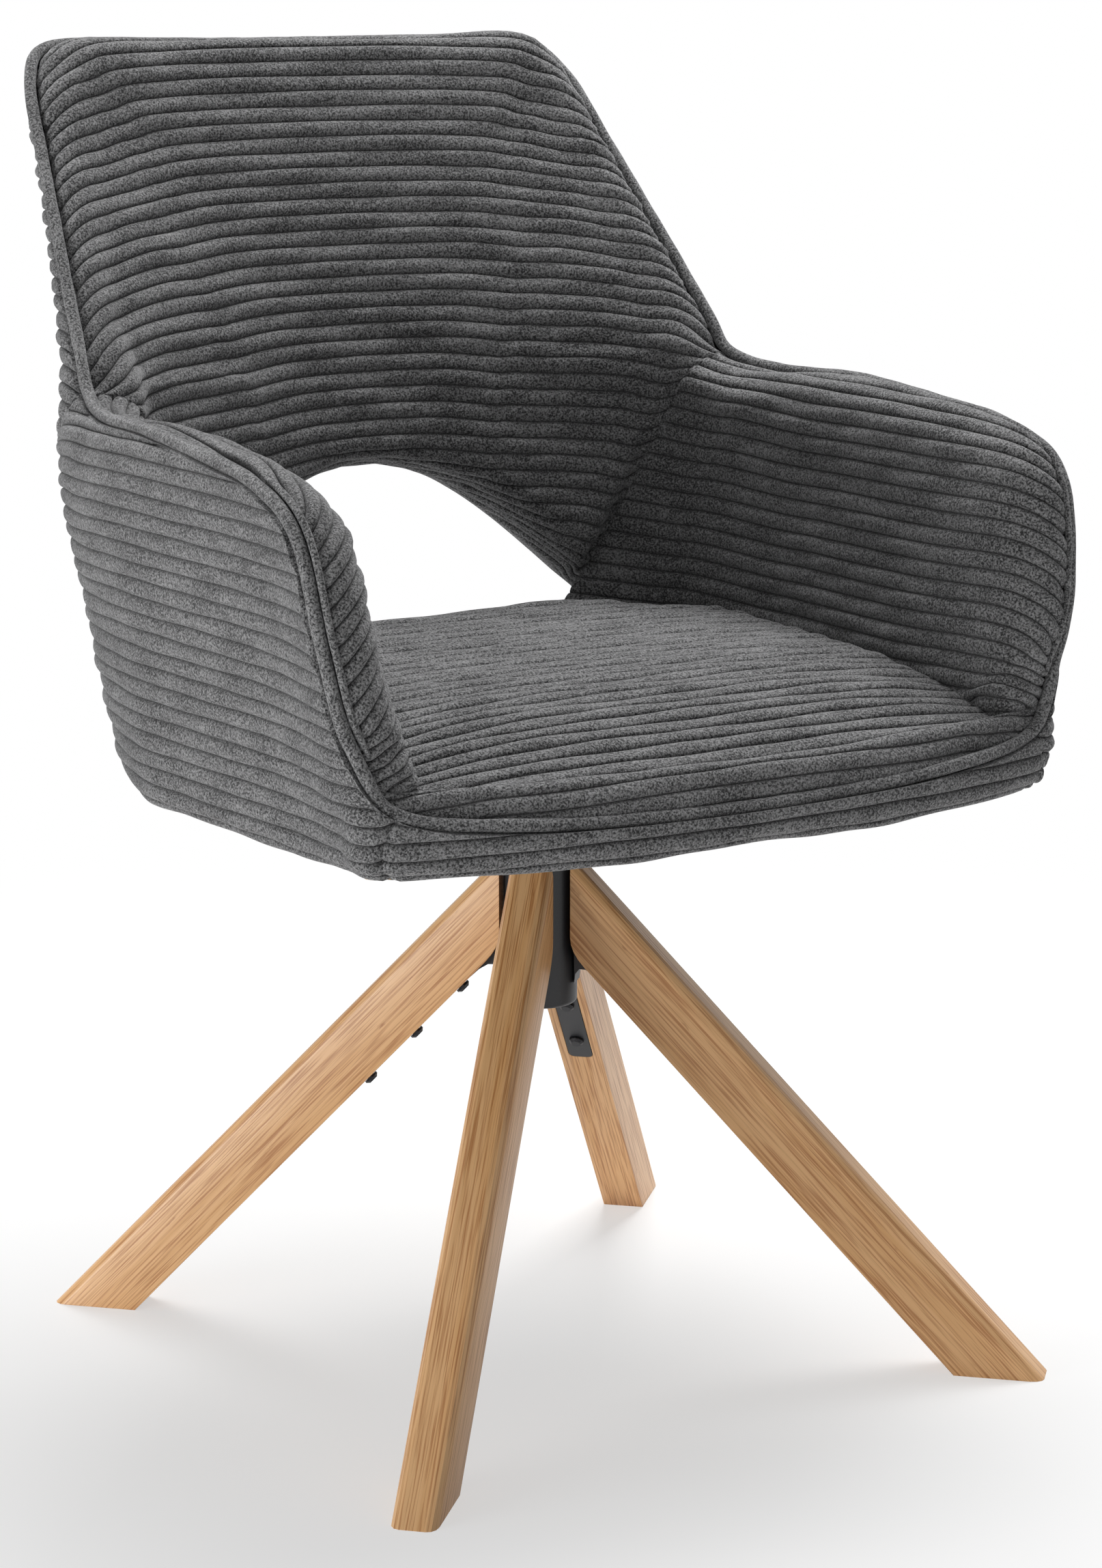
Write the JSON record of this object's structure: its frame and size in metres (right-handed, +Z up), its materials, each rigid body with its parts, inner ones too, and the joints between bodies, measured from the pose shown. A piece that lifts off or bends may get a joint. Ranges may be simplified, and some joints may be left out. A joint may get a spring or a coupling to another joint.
{
  "type": "swivel armchair",
  "caption": "Upholstered swivel armchair: a corduroy bucket seat with arms and an arch cut through the low back, turning on a steel hub with splayed oak legs.",
  "frame": {"origin": "floor level, under the middle of the chair's bounding box", "axes": "+Z up, the chair faces -Y, +X is to the right of someone looking at its front"},
  "size_m": [0.5774, 0.6186, 0.8738],
  "materials": {
    "corduroy": "dark grey wide-wale corduroy",
    "oak": "satin clear lacquer",
    "plywood": "raw moulded plywood",
    "black_powder_coat": "fine black powder coat",
    "black_zinc": "black zinc",
    "steel": "ground",
    "nylon": "natural",
    "black_felt": "black non-woven cloth"
  },
  "bodies": {
    "base": {"hub_tube": "black_powder_coat", "upper_bush": "nylon", "lower_bush": "nylon", "thrust_washer": "nylon", "leg_rear_right": "oak", "leg_rear_left": "oak", "leg_front_left": "oak", "leg_front_right": "oak", "leg_tongue_rear_right": "black_powder_coat", "leg_tongue_rear_left": "black_powder_coat", "leg_tongue_front_left": "black_powder_coat", "leg_tongue_front_right": "black_powder_coat", "leg_bolt_rear_right_1": "black_zinc", "leg_bolt_rear_right_2": "black_zinc", "leg_bolt_rear_right_3": "black_zinc", "leg_bolt_rear_left_1": "black_zinc", "leg_bolt_rear_left_2": "black_zinc", "leg_bolt_rear_left_3": "black_zinc", "leg_bolt_front_left_1": "black_zinc", "leg_bolt_front_left_2": "black_zinc", "leg_bolt_front_left_3": "black_zinc", "leg_bolt_front_right_1": "black_zinc", "leg_bolt_front_right_2": "black_zinc", "leg_bolt_front_right_3": "black_zinc"},
    "seat": {"bucket_shell": "plywood", "outer_back_cover": "corduroy", "rear_band_cover": "corduroy", "outer_arm_cover_left": "corduroy", "outer_arm_cover_right": "corduroy", "front_apron": "corduroy", "back_pad": "corduroy", "arm_pad_left": "corduroy", "arm_pad_right": "corduroy", "rim_piping": "corduroy", "seat_cushion": "corduroy", "seat_board": "plywood", "dust_cover": "black_felt", "swivel_plate": "black_powder_coat", "plate_bolt_1": "black_zinc", "plate_bolt_2": "black_zinc", "plate_bolt_3": "black_zinc", "plate_bolt_4": "black_zinc", "spindle": "steel"}
  },
  "joints": [
    {"name": "seat_swivel", "type": "hinge", "parent": "base", "child": "seat", "pos_m": [0, -0.05644, 0.378], "axis": [0, 0, 1], "continuous": true}
  ]
}
